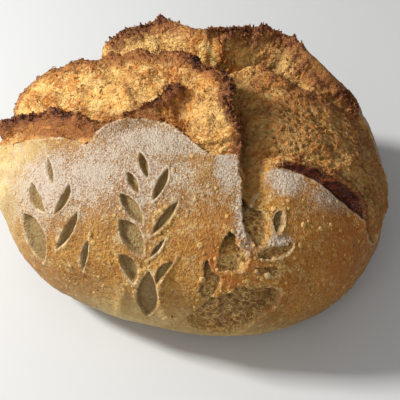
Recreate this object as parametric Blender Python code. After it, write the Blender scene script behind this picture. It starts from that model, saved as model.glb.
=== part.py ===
"""A scored sourdough loaf, modelled as one closed solid.

The loaf is a low dome on a flat base. Everything that the oven did to it is a rise or a dip along the
radius from a point inside the loaf: torn ridges, the valley between them, the crust's cut edge, and the
leaf-shaped scores. Those features are placed on a chart: a flat map of the crust, in millimetres, centred
on the direction CHART_AXIS, with u to the loaf's right and v up over the top towards the back.
"""

import math

import bmesh
import bpy
import numpy as np

MM = 0.001

# The dome, in millimetres
CENTRE_HEIGHT = 40.0  # the point that the radii start from, above the base
PLAN_RADIUS = 104.5
PLAN_OVAL = 8.0  # longer from side to side than from front to back
PLAN_TURN = 2.0  # the oval is turned a little
PLAN_TRIANGLE = -5.0  # the left end is fuller than the right one
TOP_RISE = 60.0
BASE_DROP = 50.0  # below the centre; the base cuts it flat
TOP_POWER = 2.25
BASE_POWER = 2.6

# The chart
CHART_AXIS_ELEVATION = math.radians(45)
CHART_SCALE = 105.0  # millimetres of chart for each radian

# The mesh
FIRST_SUBDIVISIONS = 5
REFINE_REACH = (4.4, 1.6)  # each round splits the edges this near to a feature
SHARP_SLOPE = 12.0  # ridges with a slope narrower than this are features to refine at
CURVE_STEPS = 5  # straight pieces between two given points

CUT_STEP = 1.4  # how far the crust's cut edge stands over the torn dough
CUT_SLOPE = 2.0  # the width over which it steps down

# Ridges: crest points as (u, v, rise), with how far the slopes before and behind the crest run
RIDGES = {
    "front ear": {
        "crest": [
            (-158, 44, 15), (-144, 51, 13), (-131, 55, 11), (-119, 59, 10), (-105, 56, 9), (-92, 52, 7),
            (-79, 57, 6), (-70, 65, 6), (-59, 72, 7), (-49, 80, 8), (-38, 88, 9), (-27, 93, 9), (-18, 90, 5),
        ],
        "front": 17.0,
        "behind": 5.0,
    },
    "left lobe": {
        "crest": [
            (-160, 66, 15), (-152, 76, 20), (-146, 88, 23), (-136, 101, 23), (-122, 113, 21),
            (-104, 123, 19), (-80, 130, 18), (-53, 133, 17), (-25, 136, 16),
        ],
        "front": 58.0,
        "behind": 17.0,
    },
    "spire": {
        "crest": [
            (-25, 136, 16), (-12, 120, 18), (1, 109, 18), (12, 101, 19), (22, 90, 19), (21, 76, 18),
            (22, 65, 16), (26, 56, 13), (30, 46, 10), (32, 37, 7), (29, 24, 1),
        ],
        "front": 44.0,
        "behind": 5.0,
    },
    "rear ear": {
        "crest": [
            (-91, 146, 25), (-76, 151, 27), (-58, 157, 28), (-41, 163, 29), (-22, 154, 26), (-3, 142, 25),
            (18, 144, 26), (40, 145, 26), (60, 142, 26), (79, 131, 24), (86, 117, 22), (94, 102, 21),
            (104, 90, 18), (114, 82, 15), (122, 73, 12), (127, 60, 6),
        ],
        "front": 11.0,
        "behind": 40.0,
    },
    "right lobe": {
        "crest": [
            (32, 126, 7), (50, 127, 10), (64, 119, 10), (84, 98, 10), (97, 86, 10), (108, 76, 9),
            (124, 61, 7), (136, 35, 4),
        ],
        "front": 48.0,
        "behind": 10.0,
    },
    "right swell": {
        "crest": [(62, 85, 5), (80, 55, 6), (105, 30, 5), (125, 0, 3)],
        "front": 28.0,
        "behind": 40.0,
    },
    "left flank": {
        "crest": [(-160, 34, 10), (-156, 16, 8), (-150, -8, 4)],
        "front": 22.0,
        "behind": 34.0,
    },
    "side ear": {
        "crest": [
            (46, 17, 1), (55, 19, 6), (62, 19, 8), (70, 16, 9), (79, 12, 10), (88, 5, 10), (96, -1, 9),
            (102, -8, 8), (104, -17, 6), (106, -28, 1),
        ],
        "front": 9.5,
        "behind": 5.0,
    },
}

# Valleys: floor points as (u, v, depth), with how far the banks before and behind the floor run
VALLEYS = {
    "split": {
        "floor": [
            (35, 118, 1), (31, 95, 5), (31, 72, 8), (34, 50, 9), (37, 33, 10), (37, 18, 10),
            (36, 6, 10), (33, -7, 8), (30, -18, 3),
        ],
        "front": 7.0,
        "behind": 26.0,
    },
    "rear cleft": {
        "floor": [
            (-108, 132, 3), (-86, 139, 9), (-60, 144, 10), (-36, 147, 10), (-14, 134, 8), (4, 128, 4),
            (24, 135, 5), (44, 138, 8), (64, 131, 9), (81, 113, 9), (96, 95, 9), (112, 80, 4),
        ],
        "front": 8.0,
        "behind": 8.0,
    },
}

# The torn part of the top, where no crust is left: its outline on the chart
TORN_TOP = [
    (-165, 32), (-149, 31), (-128, 36), (-115, 38), (-103, 37), (-93, 32), (-87, 42), (-79, 51),
    (-67, 59), (-51, 62), (-36, 59), (-22, 51), (-8, 38), (1, 30), (8, 25), (27, 24), (27, 10),
    (26, -8), (29, -20), (34, -14), (40, -7), (45, 0), (50, 10), (57, 12), (64, 10), (71, 7), (80, 1),
    (92, -12), (103, -24), (112, -37), (124, -39), (137, -25), (146, 0), (144, 30), (136, 52),
    (127, 66), (124, 76), (115, 81), (104, 86), (93, 99), (86, 117), (78, 133), (58, 141), (40, 145),
    (18, 144), (-3, 142), (-24, 155), (-42, 167), (-58, 157), (-75, 153), (-93, 148), (-110, 142),
    (-133, 126), (-151, 106), (-163, 80), (-168, 55),
]

# Leaf scores of the wheat ears: base and tip on the chart, with how far each side bulges
LEAF_DEPTH = 2.4
LEAVES = [
    (-102, 1, -113, 21, 1.7, 1.5), (-102, -17, -117, 3, 5.3, 0.6), (-96, -19, -92, 1, 0.9, 4.3),
    (-107, -51, -118, -18, 3.8, 11.4), (-93, -40, -82, -17, 1.2, 4.6), (-77, -54, -73, -35, 2.0, 1.6),
    (-42, 5, -52, 27, 2.5, 3.0), (-46, -6, -57, 10, 2.5, 2.6), (-35, -11, -28, 13, 3.0, 3.9),
    (-40, -26, -58, -6, 3.3, 4.4), (-33, -32, -18, -12, 3.0, 3.1), (-38, -45, -55, -23, 4.8, 6.8),
    (-33, -45, -25, -35, 1.4, 1.5), (-44, -62, -53, -44, 1.7, 7.0), (-29, -61, -19, -48, 4.7, 0.6),
    (-40, -90, -34, -54, 6.3, 8.1), (33, -38, 33, -18, 7.5, 7.5), (45, -30, 51, -17, 3.3, 1.9),
    (32, -40, 53, -37, 1.5, 3.0), (15, -51, 20, -30, 6.0, 7.0), (2, -68, 4, -46, 4.0, 3.5),
]

# The burst low at the front, between the right-hand wheat ear and the base
BURST_DEPTH = 2.5
BURST = [
    (5, -69), (19, -62), (34, -61), (43, -66), (38, -73), (30, -79), (22, -93), (13, -101), (-5, -98),
    (-10, -86), (-6, -76),
]


def smooth(x):
    """0 below 0, 1 above 1, and an even S between them."""
    x = np.clip(x, 0.0, 1.0)
    return x * x * (3.0 - 2.0 * x)


def curve_through(points, closed=False):
    """A Catmull-Rom curve through the points, whose columns after u and v follow along."""
    points = np.array(points, float)
    if closed:
        ends = np.vstack([points[-1], points, points[0], points[1]])
    else:
        ends = np.vstack([2 * points[0] - points[1], points, 2 * points[-1] - points[-2]])
    share = np.linspace(0.0, 1.0, CURVE_STEPS, endpoint=False)[:, None]
    pieces = []
    for a, b, c, d in zip(ends[:-3], ends[1:-2], ends[2:-1], ends[3:]):
        pieces.append(
            b
            + share * (c - a) / 2
            + share**2 * (2 * a - 5 * b + 4 * c - d) / 2
            + share**3 * (3 * b - a - 3 * c + d) / 2
        )
    return np.vstack(pieces + [ends[-2:-1]])


def nearest_on(curve, spots):
    """For each spot: its distance to the curve, its side (1 is left of travel), and the values there."""
    best = np.full(len(spots), np.inf)
    side = np.ones(len(spots))
    value = np.zeros((len(spots), curve.shape[1] - 2))
    for start, end in zip(curve[:-1], curve[1:]):
        step = end[:2] - start[:2]
        away = spots - start[:2]
        share = np.clip(away @ step / (step @ step), 0.0, 1.0)
        gap = away - share[:, None] * step
        distance = np.hypot(gap[:, 0], gap[:, 1])
        closer = distance < best
        best[closer] = distance[closer]
        side[closer] = np.where(step[0] * away[closer, 1] - step[1] * away[closer, 0] >= 0, 1.0, -1.0)
        value[closer] = start[2:] + share[closer, None] * (end[2:] - start[2:])
    return best, side, value


def inside(outline, spots):
    """True for the spots inside a closed outline."""
    crossings = np.zeros(len(spots), int)
    for (ax, ay), (bx, by) in zip(outline[:-1, :2], outline[1:, :2]):
        if ay == by:
            continue
        spans = (spots[:, 1] < ay) != (spots[:, 1] < by)
        reach = ax + (spots[:, 1] - ay) / (by - ay) * (bx - ax)
        crossings += spans & (spots[:, 0] < reach)
    return crossings % 2 == 1


def depth_inside(outline, spots):
    """How far each spot is inside a closed outline; negative outside it."""
    curve = curve_through(outline, closed=True)
    distance = nearest_on(curve, spots)[0]
    return np.where(inside(curve, spots), distance, -distance)


def leaf_depth(leaf, spots):
    """How far each spot is inside a leaf, which two arcs bound between its base and its tip."""
    base, tip = np.array(leaf[:2], float), np.array(leaf[2:4], float)
    middle, length = (base + tip) / 2, np.linalg.norm(tip - base)
    along = (tip - base) / length
    away = spots - middle
    run = away @ along
    across = away @ np.array([-along[1], along[0]])
    bulge = np.where(across > 0, leaf[4], leaf[5])
    radius = (length**2 / 4 + bulge**2) / (2 * bulge)
    return radius - np.hypot(run, np.abs(across) + radius - bulge)


def chart_of(directions):
    """Where each direction from the loaf's centre lies on the chart."""
    lean = CHART_AXIS_ELEVATION
    axis = np.array([0.0, -math.cos(lean), math.sin(lean)])
    over = np.array([0.0, math.sin(lean), math.cos(lean)])
    angle = np.arccos(np.clip(directions @ axis, -1.0, 1.0))
    turn = np.arctan2(directions @ over, directions[:, 0])
    return CHART_SCALE * angle[:, None] * np.stack([np.cos(turn), np.sin(turn)], axis=1)


def dome_radius(directions):
    """The plain loaf: a rounded oval, higher above its centre than below."""
    turn = np.arctan2(directions[:, 1], directions[:, 0])
    reach = np.hypot(directions[:, 0], directions[:, 1])
    plan = PLAN_RADIUS + PLAN_OVAL * np.cos(2 * turn)
    plan += PLAN_TURN * np.sin(2 * turn) + PLAN_TRIANGLE * np.cos(3 * turn)
    above = directions[:, 2] > 0
    height = np.where(above, TOP_RISE, BASE_DROP)
    power = np.where(above, TOP_POWER, BASE_POWER)
    return ((reach / plan) ** power + (np.abs(directions[:, 2]) / height) ** power) ** (-1 / power)


def slope(distance, side, front, behind):
    """1 on a line, falling to 0 at its front and back widths. The front is on the right of travel."""
    return 1.0 - smooth(distance / np.where(side < 0, front, behind))


def rise(spots):
    """How far the crust stands above the dome at each spot of the chart."""
    height = np.zeros(len(spots))
    for ridge in RIDGES.values():
        distance, side, crest = nearest_on(curve_through(ridge["crest"]), spots)
        height = np.maximum(height, crest[:, 0] * slope(distance, side, ridge["front"], ridge["behind"]))
    for valley in VALLEYS.values():
        distance, side, floor = nearest_on(curve_through(valley["floor"]), spots)
        height -= floor[:, 0] * slope(distance, side, valley["front"], valley["behind"])
    height -= CUT_STEP * smooth(depth_inside(TORN_TOP, spots) / CUT_SLOPE)
    height -= BURST_DEPTH * smooth(depth_inside(BURST, spots) / CUT_SLOPE)
    leaves = [smooth(leaf_depth(leaf, spots) / CUT_SLOPE) for leaf in LEAVES]
    return height - LEAF_DEPTH * np.max(leaves, axis=0)


def place(directions):
    """The loaf's points, in millimetres, with its base flat at height 0."""
    points = directions * (dome_radius(directions) + rise(chart_of(directions)))[:, None]
    points[:, 2] = np.maximum(points[:, 2] + CENTRE_HEIGHT, 0.0)
    return points


def directions_of(vertices):
    return np.array([v.co.normalized() for v in vertices])


def refine(loaf, fine_edges):
    """Splits the chosen edges of the unit ball and puts the new points on it."""
    bmesh.ops.subdivide_edges(loaf, edges=fine_edges, cuts=1, use_grid_fill=True)
    bmesh.ops.triangulate(loaf, faces=loaf.faces[:])
    for vertex in loaf.verts:
        vertex.co.normalize()


def edges_near_features(loaf, reach):
    """The edges whose middles are within reach of a crest, a valley floor, a leaf or the cut edge."""
    middles = np.array([((e.verts[0].co + e.verts[1].co) / 2).normalized() for e in loaf.edges])
    spots = chart_of(middles)
    sharp = [r for r in RIDGES.values() if min(r["front"], r["behind"]) < SHARP_SLOPE]
    lines = [curve_through(r["crest"]) for r in sharp]
    lines += [curve_through(v["floor"]) for v in VALLEYS.values()]
    near = np.zeros(len(spots), bool)
    for line in lines:
        near |= nearest_on(line, spots)[0] < reach
    near |= np.abs(depth_inside(TORN_TOP, spots)) < reach / 2
    near |= np.abs(depth_inside(BURST, spots)) < reach / 2
    for leaf in LEAVES:
        near |= leaf_depth(leaf, spots) > -reach / 2
    return [edge for edge, wanted in zip(loaf.edges, near) if wanted]


def crust_material():
    material = bpy.data.materials.new("baked crust")
    material.use_nodes = True
    shader = material.node_tree.nodes["Principled BSDF"]
    shader.inputs["Base Color"].default_value = (0.52, 0.30, 0.11, 1.0)
    shader.inputs["Roughness"].default_value = 0.7
    shader.inputs["Metallic"].default_value = 0.0
    return material


def make_loaf():
    loaf = bmesh.new()
    bmesh.ops.create_icosphere(loaf, subdivisions=FIRST_SUBDIVISIONS, radius=1.0)
    for reach in REFINE_REACH:
        refine(loaf, edges_near_features(loaf, reach))
    loaf.verts.ensure_lookup_table()
    points = place(directions_of(loaf.verts))
    middle = (points.min(axis=0) + points.max(axis=0)) / 2
    points[:, :2] -= middle[:2]
    for vertex, point in zip(loaf.verts, points):
        vertex.co = point * MM
    mesh = bpy.data.meshes.new("loaf")
    loaf.to_mesh(mesh)
    loaf.free()
    mesh.materials.append(crust_material())
    mesh.shade_smooth()
    node = bpy.data.objects.new("loaf", mesh)
    bpy.context.scene.collection.objects.link(node)
    return node


for old in list(bpy.data.objects):
    bpy.data.objects.remove(old)
made = make_loaf()
print("loaf:", len(made.data.polygons), "triangles,", tuple(round(s, 4) for s in made.dimensions), "m")
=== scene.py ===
import math

import bmesh
import bpy
import numpy as np
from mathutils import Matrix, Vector, noise


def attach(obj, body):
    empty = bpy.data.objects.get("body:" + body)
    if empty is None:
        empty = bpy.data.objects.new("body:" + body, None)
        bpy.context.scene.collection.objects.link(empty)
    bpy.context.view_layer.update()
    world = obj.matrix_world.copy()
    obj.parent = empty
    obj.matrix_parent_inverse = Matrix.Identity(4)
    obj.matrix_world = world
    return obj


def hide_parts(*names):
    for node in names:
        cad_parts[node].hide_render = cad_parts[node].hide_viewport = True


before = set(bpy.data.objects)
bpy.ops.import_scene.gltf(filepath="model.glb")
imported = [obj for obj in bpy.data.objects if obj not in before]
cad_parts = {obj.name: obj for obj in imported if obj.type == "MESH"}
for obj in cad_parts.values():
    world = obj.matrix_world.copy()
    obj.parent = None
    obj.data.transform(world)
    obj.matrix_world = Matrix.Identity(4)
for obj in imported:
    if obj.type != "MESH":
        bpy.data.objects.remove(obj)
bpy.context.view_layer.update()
mm = 0.001

# Lengths of the loaf are in millimetres. Features lie on a chart of the crust: u to the loaf's right,
# v up over the top to the back, centred on the direction that leans back by chartLean.
loafShape = {
    "domeSpot": (7.8, -0.9),  # where the dome's centre stands in the frame
    "centreHeight": 40.0,
    "planRadius": 104.5,
    "planOval": 8.0,
    "planTurn": 2.0,
    "planTriangle": -5.0,
    "topRise": 60.0,
    "baseDrop": 50.0,
    "topPower": 2.25,
    "basePower": 2.6,
    "chartLean": math.radians(45),
    "chartScale": 105.0,
    "crustStep": 1.5,
    "crustSlope": 0.9,
}

# Crest points are (u, v, rise, burn). The front of a ridge is on the right of its points' order.
ridges = {
    "frontEar": {
        "crest": [
            (-172, 36, 0, 0.3), (-158, 44, 15, 0.9), (-144, 51, 13, 0.95), (-131, 55, 11, 0.9),
            (-119, 59, 10, 1.0), (-105, 56, 9, 0.85), (-92, 52, 7, 0.5), (-79, 57, 6, 0.45),
            (-70, 65, 6, 0.5),
            (-59, 72, 7, 0.55), (-49, 80, 8, 0.85), (-38, 88, 9, 0.9), (-27, 93, 9, 0.85),
            (-18, 90, 5, 0.4),
        ],
        "front": 17.0, "behind": 5.0, "burnFront": 10.0, "burnBehind": 3.0, "ragged": 1.0,
    },
    "leftLobe": {
        "crest": [
            (-172, 54, 0, 0.0), (-160, 66, 15, 0.3), (-152, 76, 20, 0.4), (-146, 88, 23, 0.4),
            (-136, 101, 23, 0.45), (-122, 113, 21, 0.5), (-104, 123, 19, 0.5), (-80, 130, 18, 0.5),
            (-53, 133, 17, 0.5),
            (-25, 136, 16, 0.6),
        ],
        "front": 58.0, "behind": 17.0, "burnFront": 24.0, "burnBehind": 12.0, "ragged": 0.5,
    },
    "spire": {
        "crest": [
            (-25, 136, 16, 0.7), (-12, 120, 18, 0.85), (1, 109, 18, 0.85), (12, 101, 19, 1.0),
            (22, 90, 19, 1.0), (21, 76, 18, 1.0), (22, 65, 16, 0.95), (26, 56, 13, 0.8),
            (30, 46, 10, 0.8), (32, 37, 7, 0.75), (29, 24, 1, 0.7),
        ],
        "front": 44.0, "behind": 5.0, "burnFront": 14.0, "burnBehind": 3.0, "ragged": 1.1,
    },
    "rearEar": {
        "crest": [
            (-91, 146, 25, 0.9), (-76, 151, 27, 0.8), (-58, 157, 28, 0.8), (-41, 163, 29, 0.9),
            (-22, 154, 26, 0.5), (-3, 142, 25, 0.4), (18, 144, 26, 0.85), (40, 145, 26, 0.9),
            (60, 142, 26, 0.9), (79, 131, 24, 0.8), (86, 117, 22, 0.6), (94, 102, 21, 0.5),
            (104, 90, 18, 0.55), (114, 82, 15, 0.75), (122, 73, 12, 0.9), (127, 60, 6, 0.6),
        ],
        "front": 11.0, "behind": 40.0, "burnFront": 5.0, "burnBehind": 10.0, "ragged": 1.0,
    },
    "rightLobe": {
        "crest": [
            (32, 126, 7, 0.1), (50, 127, 10, 0.2), (64, 119, 10, 0.3), (84, 98, 10, 0.5),
            (97, 86, 10, 0.5), (108, 76, 9, 0.5), (124, 61, 7, 0.4), (136, 35, 4, 0.3),
        ],
        "front": 48.0, "behind": 10.0, "burnFront": 22.0, "burnBehind": 6.0, "ragged": 0.25,
    },
    "rightSwell": {
        "crest": [(62, 85, 5, 0), (80, 55, 6, 0), (105, 30, 5, 0), (125, 0, 3, 0)],
        "front": 28.0, "behind": 40.0, "burnFront": 5.0, "burnBehind": 5.0, "ragged": 0.0,
    },
    "leftFlank": {
        "crest": [(-172, 46, 0, 0), (-160, 34, 10, 0), (-156, 16, 8, 0), (-150, -8, 4, 0), (-144, -24, 0, 0)],
        "front": 22.0, "behind": 34.0, "burnFront": 5.0, "burnBehind": 5.0, "ragged": 0.0,
    },
    "lowerLip": {
        "crest": [
            (47, -62, 1, 0), (43, -71, 2.2, 0), (34, -81, 2.4, 0), (25, -92, 2.4, 0), (14, -103, 1.5, 0),
        ],
        "front": 2.5, "behind": 9.0, "burnFront": 1.0, "burnBehind": 1.0, "ragged": 0.0,
    },
    "leftFold": {
        "crest": [(-56, -56, 0, 0), (-54, -70, 1.6, 0), (-58, -84, 1.0, 0), (-66, -100, 0, 0)],
        "front": 4.0, "behind": 9.0, "burnFront": 1.0, "burnBehind": 1.0, "ragged": 0.0,
    },
    "middleFold": {
        "crest": [(-22, -50, 1, 0), (-26, -62, 2.4, 0), (-25, -78, 2.2, 0), (-20, -98, 0, 0)],
        "front": 8.0, "behind": 3.5, "burnFront": 1.0, "burnBehind": 1.0, "ragged": 0.0,
    },
    "sideEar": {
        "crest": [
            (46, 17, 1, 0.2), (55, 19, 6, 0.3), (62, 19, 8, 0.3), (70, 16, 9, 0.35), (79, 12, 10, 0.45),
            (88, 5, 10, 0.6), (96, -1, 9, 0.7), (102, -8, 8, 0.7), (104, -17, 6, 0.6), (106, -28, 1, 0.4),
        ],
        "front": 9.5, "behind": 5.0, "burnFront": 4.0, "burnBehind": 3.0, "ragged": 0.7,
    },
}

# Floor points are (u, v, depth)
valleys = {
    "split": {
        "floor": [
            (35, 118, 1), (31, 95, 5), (31, 72, 8), (34, 50, 9), (37, 33, 10), (37, 18, 10),
            (36, 6, 10), (33, -7, 8), (30, -18, 3),
        ],
        "front": 7.0, "behind": 26.0,
    },
    "rearCleft": {
        "floor": [
            (-108, 132, 3), (-86, 139, 7), (-60, 144, 7), (-36, 147, 8), (-14, 134, 8), (4, 128, 4),
            (24, 135, 5), (44, 138, 8), (64, 131, 9), (81, 113, 9), (96, 95, 9), (112, 80, 4),
        ],
        "front": 8.0, "behind": 8.0,
    },
}

valleyReach = 30.0

# Where no crust is left on top
tornTop = [
    (-165, 32), (-149, 31), (-128, 36), (-115, 38), (-103, 37), (-93, 32), (-87, 42), (-79, 51),
    (-67, 59), (-51, 62), (-36, 59), (-22, 51), (-8, 38), (1, 30), (8, 25), (27, 24), (27, 10),
    (26, -8), (29, -20), (34, -14), (40, -7), (45, 0), (50, 10), (57, 12), (64, 10), (71, 7), (80, 1),
    (92, -12), (103, -24), (112, -37), (124, -39), (137, -25), (146, 0), (144, 30), (136, 52),
    (127, 66), (124, 76), (115, 81), (104, 86), (93, 99), (86, 117), (78, 133), (58, 141), (40, 145),
    (18, 144), (-3, 142), (-24, 155), (-42, 167), (-58, 157), (-75, 153), (-93, 148), (-110, 142),
    (-133, 126), (-151, 106), (-163, 80), (-168, 55),
]

# Wheat ears: each leaf is base, tip and how far its left and right sides bulge
leafCuts = {
    "depth": 3.2,
    "slope": 0.9,
    "farSlope": 3.0,
    "rimRise": 0.8,
    "leaves": [
        (-102, 1, -113, 21, 1.7, 1.5), (-102, -17, -117, 3, 5.3, 0.6), (-96, -19, -92, 1, 0.9, 4.3),
        (-107, -51, -118, -18, 3.8, 11.4), (-93, -40, -82, -17, 1.2, 4.6), (-77, -54, -73, -35, 2.0, 1.6),
        (-42, 5, -52, 27, 2.5, 3.0), (-46, -6, -57, 10, 2.5, 2.6), (-35, -11, -28, 13, 3.0, 3.9),
        (-40, -26, -58, -6, 3.3, 4.4), (-33, -32, -18, -12, 3.0, 3.1), (-38, -45, -55, -23, 4.8, 6.8),
        (-33, -45, -25, -35, 1.4, 1.5), (-44, -62, -53, -44, 1.7, 7.0), (-29, -61, -19, -48, 4.7, 0.6),
        (-40, -90, -34, -54, 6.3, 8.1), (45, -30, 51, -17, 3.3, 1.9),
    ],
}

# Scores that tore open round the right-hand ear and low on the front; slopes are their upper and lower sides,
# and the last value sets the painted shadow beneath the upper edge
tears = [
    {
        "outline": [
            (27, -10), (33, -15), (40, -19), (42, -25), (42, -31), (38, -36), (32, -38), (28, -32), (25, -22),
        ],
        "depth": 5.5, "slopes": (1.6, 2.4), "rim": 0.6, "tearShade": 0.9,
    },
    {
        "outline": [(32, -42), (38, -39), (45, -38), (53, -35), (53, -38), (46, -42), (39, -44)],
        "depth": 3.4, "slopes": (1.0, 1.8), "rim": 1.0, "tearShade": 0.8,
    },
    {
        "outline": [
            (16, -30), (12, -36), (9, -43), (10, -51), (17, -52), (22, -51), (27, -44), (23, -39), (19, -32),
        ],
        "depth": 5.0, "slopes": (1.4, 2.0), "rim": 0.4, "tearShade": 0.9,
    },
    {
        "outline": [(1, -46), (0, -55), (-3, -66), (3, -70), (8, -62), (10, -56), (5, -52)],
        "depth": 4.2, "slopes": (1.2, 2.2), "rim": 0.5, "tearShade": 0.8,
    },
    {
        "outline": [
            (4, -70), (10, -66), (19, -62), (28, -60), (38, -60), (45, -63), (42, -71), (33, -80), (24, -91),
            (14, -101), (-5, -99), (-11, -88), (-4, -78),
        ],
        "depth": 6.4, "slopes": (0.8, 9.0), "rim": 0.3, "tearShade": 1.0,
    },
    {
        "outline": [(30, -50), (39, -49), (47, -52), (38, -53)],
        "depth": 2.0, "slopes": (1.2, 1.6), "rim": 0.4, "tearShade": 0.7,
    },
]


def easeStep(x):
    x = np.clip(x, 0.0, 1.0)
    return x * x * (3.0 - 2.0 * x)


# A Catmull-Rom curve through points whose columns after u and v follow along
def curveThrough(points, closed=False, steps=6):
    points = np.array(points, float)
    if closed:
        ends = np.vstack([points[-1], points, points[0], points[1]])
    else:
        ends = np.vstack([2 * points[0] - points[1], points, 2 * points[-1] - points[-2]])
    share = np.linspace(0.0, 1.0, steps, endpoint=False)[:, None]
    pieces = []
    for a, b, c, d in zip(ends[:-3], ends[1:-2], ends[2:-1], ends[3:]):
        bend = share**2 * (2 * a - 5 * b + 4 * c - d) / 2 + share**3 * (3 * b - a - 3 * c + d) / 2
        pieces.append(b + share * (c - a) / 2 + bend)
    return np.vstack(pieces + [ends[-2:-1]])


# Distance to a curve, side (1 is left of travel) and its values, for the spots within reach of it
def nearestOn(curve, spots, reach):
    low, high = curve[:, :2].min(axis=0) - reach, curve[:, :2].max(axis=0) + reach
    near = np.flatnonzero(np.all((spots > low) & (spots < high), axis=1))
    at = spots[near]
    best = np.full(len(at), np.inf)
    side = np.ones(len(at))
    value = np.zeros((len(at), curve.shape[1] - 2))
    for start, end in zip(curve[:-1], curve[1:]):
        step = end[:2] - start[:2]
        away = at - start[:2]
        share = np.clip(away @ step / max(step @ step, 1e-9), 0.0, 1.0)
        gap = away - share[:, None] * step
        distance = np.hypot(gap[:, 0], gap[:, 1])
        closer = distance < best
        best[closer] = distance[closer]
        side[closer] = np.where(step[0] * away[closer, 1] - step[1] * away[closer, 0] >= 0, 1.0, -1.0)
        value[closer] = start[2:] + share[closer, None] * (end[2:] - start[2:])
    distances = np.full(len(spots), 1e3)
    distances[near] = best
    sides = np.ones(len(spots))
    sides[near] = side
    values = np.zeros((len(spots), value.shape[1]))
    values[near] = value
    return distances, sides, values


def insideOutline(outline, spots):
    crossings = np.zeros(len(spots), int)
    for (ax, ay), (bx, by) in zip(outline[:-1, :2], outline[1:, :2]):
        if ay != by:
            spans = (spots[:, 1] < ay) != (spots[:, 1] < by)
            crossings += spans & (spots[:, 0] < ax + (spots[:, 1] - ay) / (by - ay) * (bx - ax))
    return crossings % 2 == 1


def depthInside(outline, spots, reach=12.0):
    curve = curveThrough(outline, closed=True)
    distance = nearestOn(curve, spots, reach)[0]
    return np.where(insideOutline(curve, spots), distance, -distance)


# How far inside a leaf the spots are, and the same as a share of the way down its side
def leafDepth(leaf, spots):
    base, tip = np.array(leaf[:2], float), np.array(leaf[2:4], float)
    middle, length = (base + tip) / 2, np.linalg.norm(tip - base)
    along = (tip - base) / length
    away = spots - middle
    across = away @ np.array([-along[1], along[0]])
    left = across > 0
    bulge = np.where(left, leaf[4], leaf[5])
    steep, gentle = min(leafCuts["slope"], 0.8 * leaf[4]), min(leafCuts["farSlope"], 0.85 * leaf[5])
    radius = (length**2 / 4 + bulge**2) / (2 * bulge)
    inside = radius - np.hypot(away @ along, np.abs(across) + radius - bulge)
    return inside, inside / np.where(left, steep, gentle)


def chartOf(directions):
    lean = loafShape["chartLean"]
    axis = np.array([0.0, -math.cos(lean), math.sin(lean)])
    over = np.array([0.0, math.sin(lean), math.cos(lean)])
    angle = np.arccos(np.clip(directions @ axis, -1.0, 1.0))
    turn = np.arctan2(directions @ over, directions[:, 0])
    return loafShape["chartScale"] * angle[:, None] * np.stack([np.cos(turn), np.sin(turn)], axis=1)


def domeRadius(directions):
    s = loafShape
    turn = np.arctan2(directions[:, 1], directions[:, 0])
    flat = np.hypot(directions[:, 0], directions[:, 1])
    plan = s["planRadius"] + s["planOval"] * np.cos(2 * turn)
    plan += s["planTurn"] * np.sin(2 * turn) + s["planTriangle"] * np.cos(3 * turn)
    above = directions[:, 2] > 0
    height = np.where(above, s["topRise"], s["baseDrop"])
    power = np.where(above, s["topPower"], s["basePower"])
    return ((flat / plan) ** power + (np.abs(directions[:, 2]) / height) ** power) ** (-1 / power)


# Smooth noise between about -1 and 1, with features of the given size in millimetres
def noiseAt(points, size, shift=0.0, stretch=(1, 1, 1)):
    scaled = (points / (np.array(stretch) * size) + shift).tolist()
    return np.array([noise.noise(p) for p in scaled])


# Crumpled noise from 0 to about 1: sharp crests with round hollows between them
def crumpleAt(points, size, shift=0.0, stretch=(1, 1, 1)):
    total = np.zeros(len(points))
    for octave in range(3):
        n = noiseAt(points, size / 2**octave, shift + 7.3 * octave, stretch)
        total += (1.0 - np.abs(n) * 2.0) / 2**octave
    return total / 1.75


# Distance to the nearest of a scatter of points about a size apart: 0 at a point, about 1 between them
def cellsAt(points, size, shift=0.0):
    scaled = (points / size + shift).tolist()
    return np.array([noise.voronoi(p)[0][0] for p in scaled])


def softSpot(spots, u, v, wide, high, amount):
    away = np.hypot((spots[:, 0] - u) / wide, (spots[:, 1] - v) / high)
    return amount * (1.0 - easeStep(away))


def sumOfSpots(spots, entries):
    total = np.zeros(len(spots))
    for entry in entries:
        total = np.maximum(total, softSpot(spots, *entry))
    return total


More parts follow.
